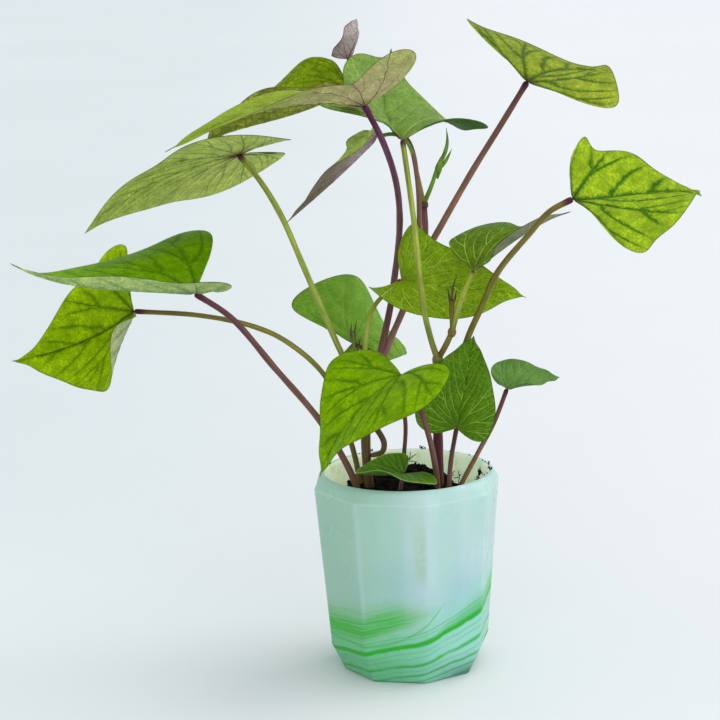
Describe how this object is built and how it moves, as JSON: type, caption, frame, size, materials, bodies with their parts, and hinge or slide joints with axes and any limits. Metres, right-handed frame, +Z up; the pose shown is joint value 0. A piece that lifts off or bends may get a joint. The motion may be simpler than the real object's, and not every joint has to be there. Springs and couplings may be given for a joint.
{
  "type": "potted sweet potato plant",
  "caption": "Young sweet potato plant with heart-shaped leaves on long stalks, climbing from a small eight-sided glazed pot.",
  "frame": {"origin": "middle of the flat underside of the pot", "axes": "+Z up, -Y towards the side of the plant that the picture shows, +X to the right of that view"},
  "size_m": [0.2991, 0.1529, 0.2892],
  "materials": {
    "glaze": "glossy pale blue-green glaze with darker green brush strokes near the foot",
    "soil": "matt, crumbly, with rootlets",
    "stem": "satin, olive green to purple-brown",
    "leaf": "satin, thin, green with paler veins",
    "young_leaf": "satin, purplish with dark veins"
  },
  "bodies": {
    "root": {"pot": "glaze", "soil": "soil", "vine_left": "stem", "vine_right": "stem", "petiole_front_left": "stem", "petiole_front_right": "stem", "petiole_small_right": "stem", "petiole_mouth": "stem", "petiole_left_upper": "stem", "petiole_left_lower": "stem", "petiole_rear_left": "stem", "leaf_upper_left": "leaf", "leaf_arch_front": "leaf", "leaf_arch_rear": "leaf", "leaf_young_purple": "young_leaf", "leaf_folded": "leaf", "leaf_top": "leaf", "leaf_top_right": "leaf", "leaf_right": "leaf", "leaf_mid_right": "leaf", "leaf_centre": "leaf", "leaf_rear_left": "leaf", "leaf_front_left": "leaf", "leaf_front_right": "leaf", "leaf_small_right": "leaf", "leaf_mouth": "leaf", "leaf_left_upper": "leaf", "leaf_left_lower": "leaf"}
  },
  "joints": []
}
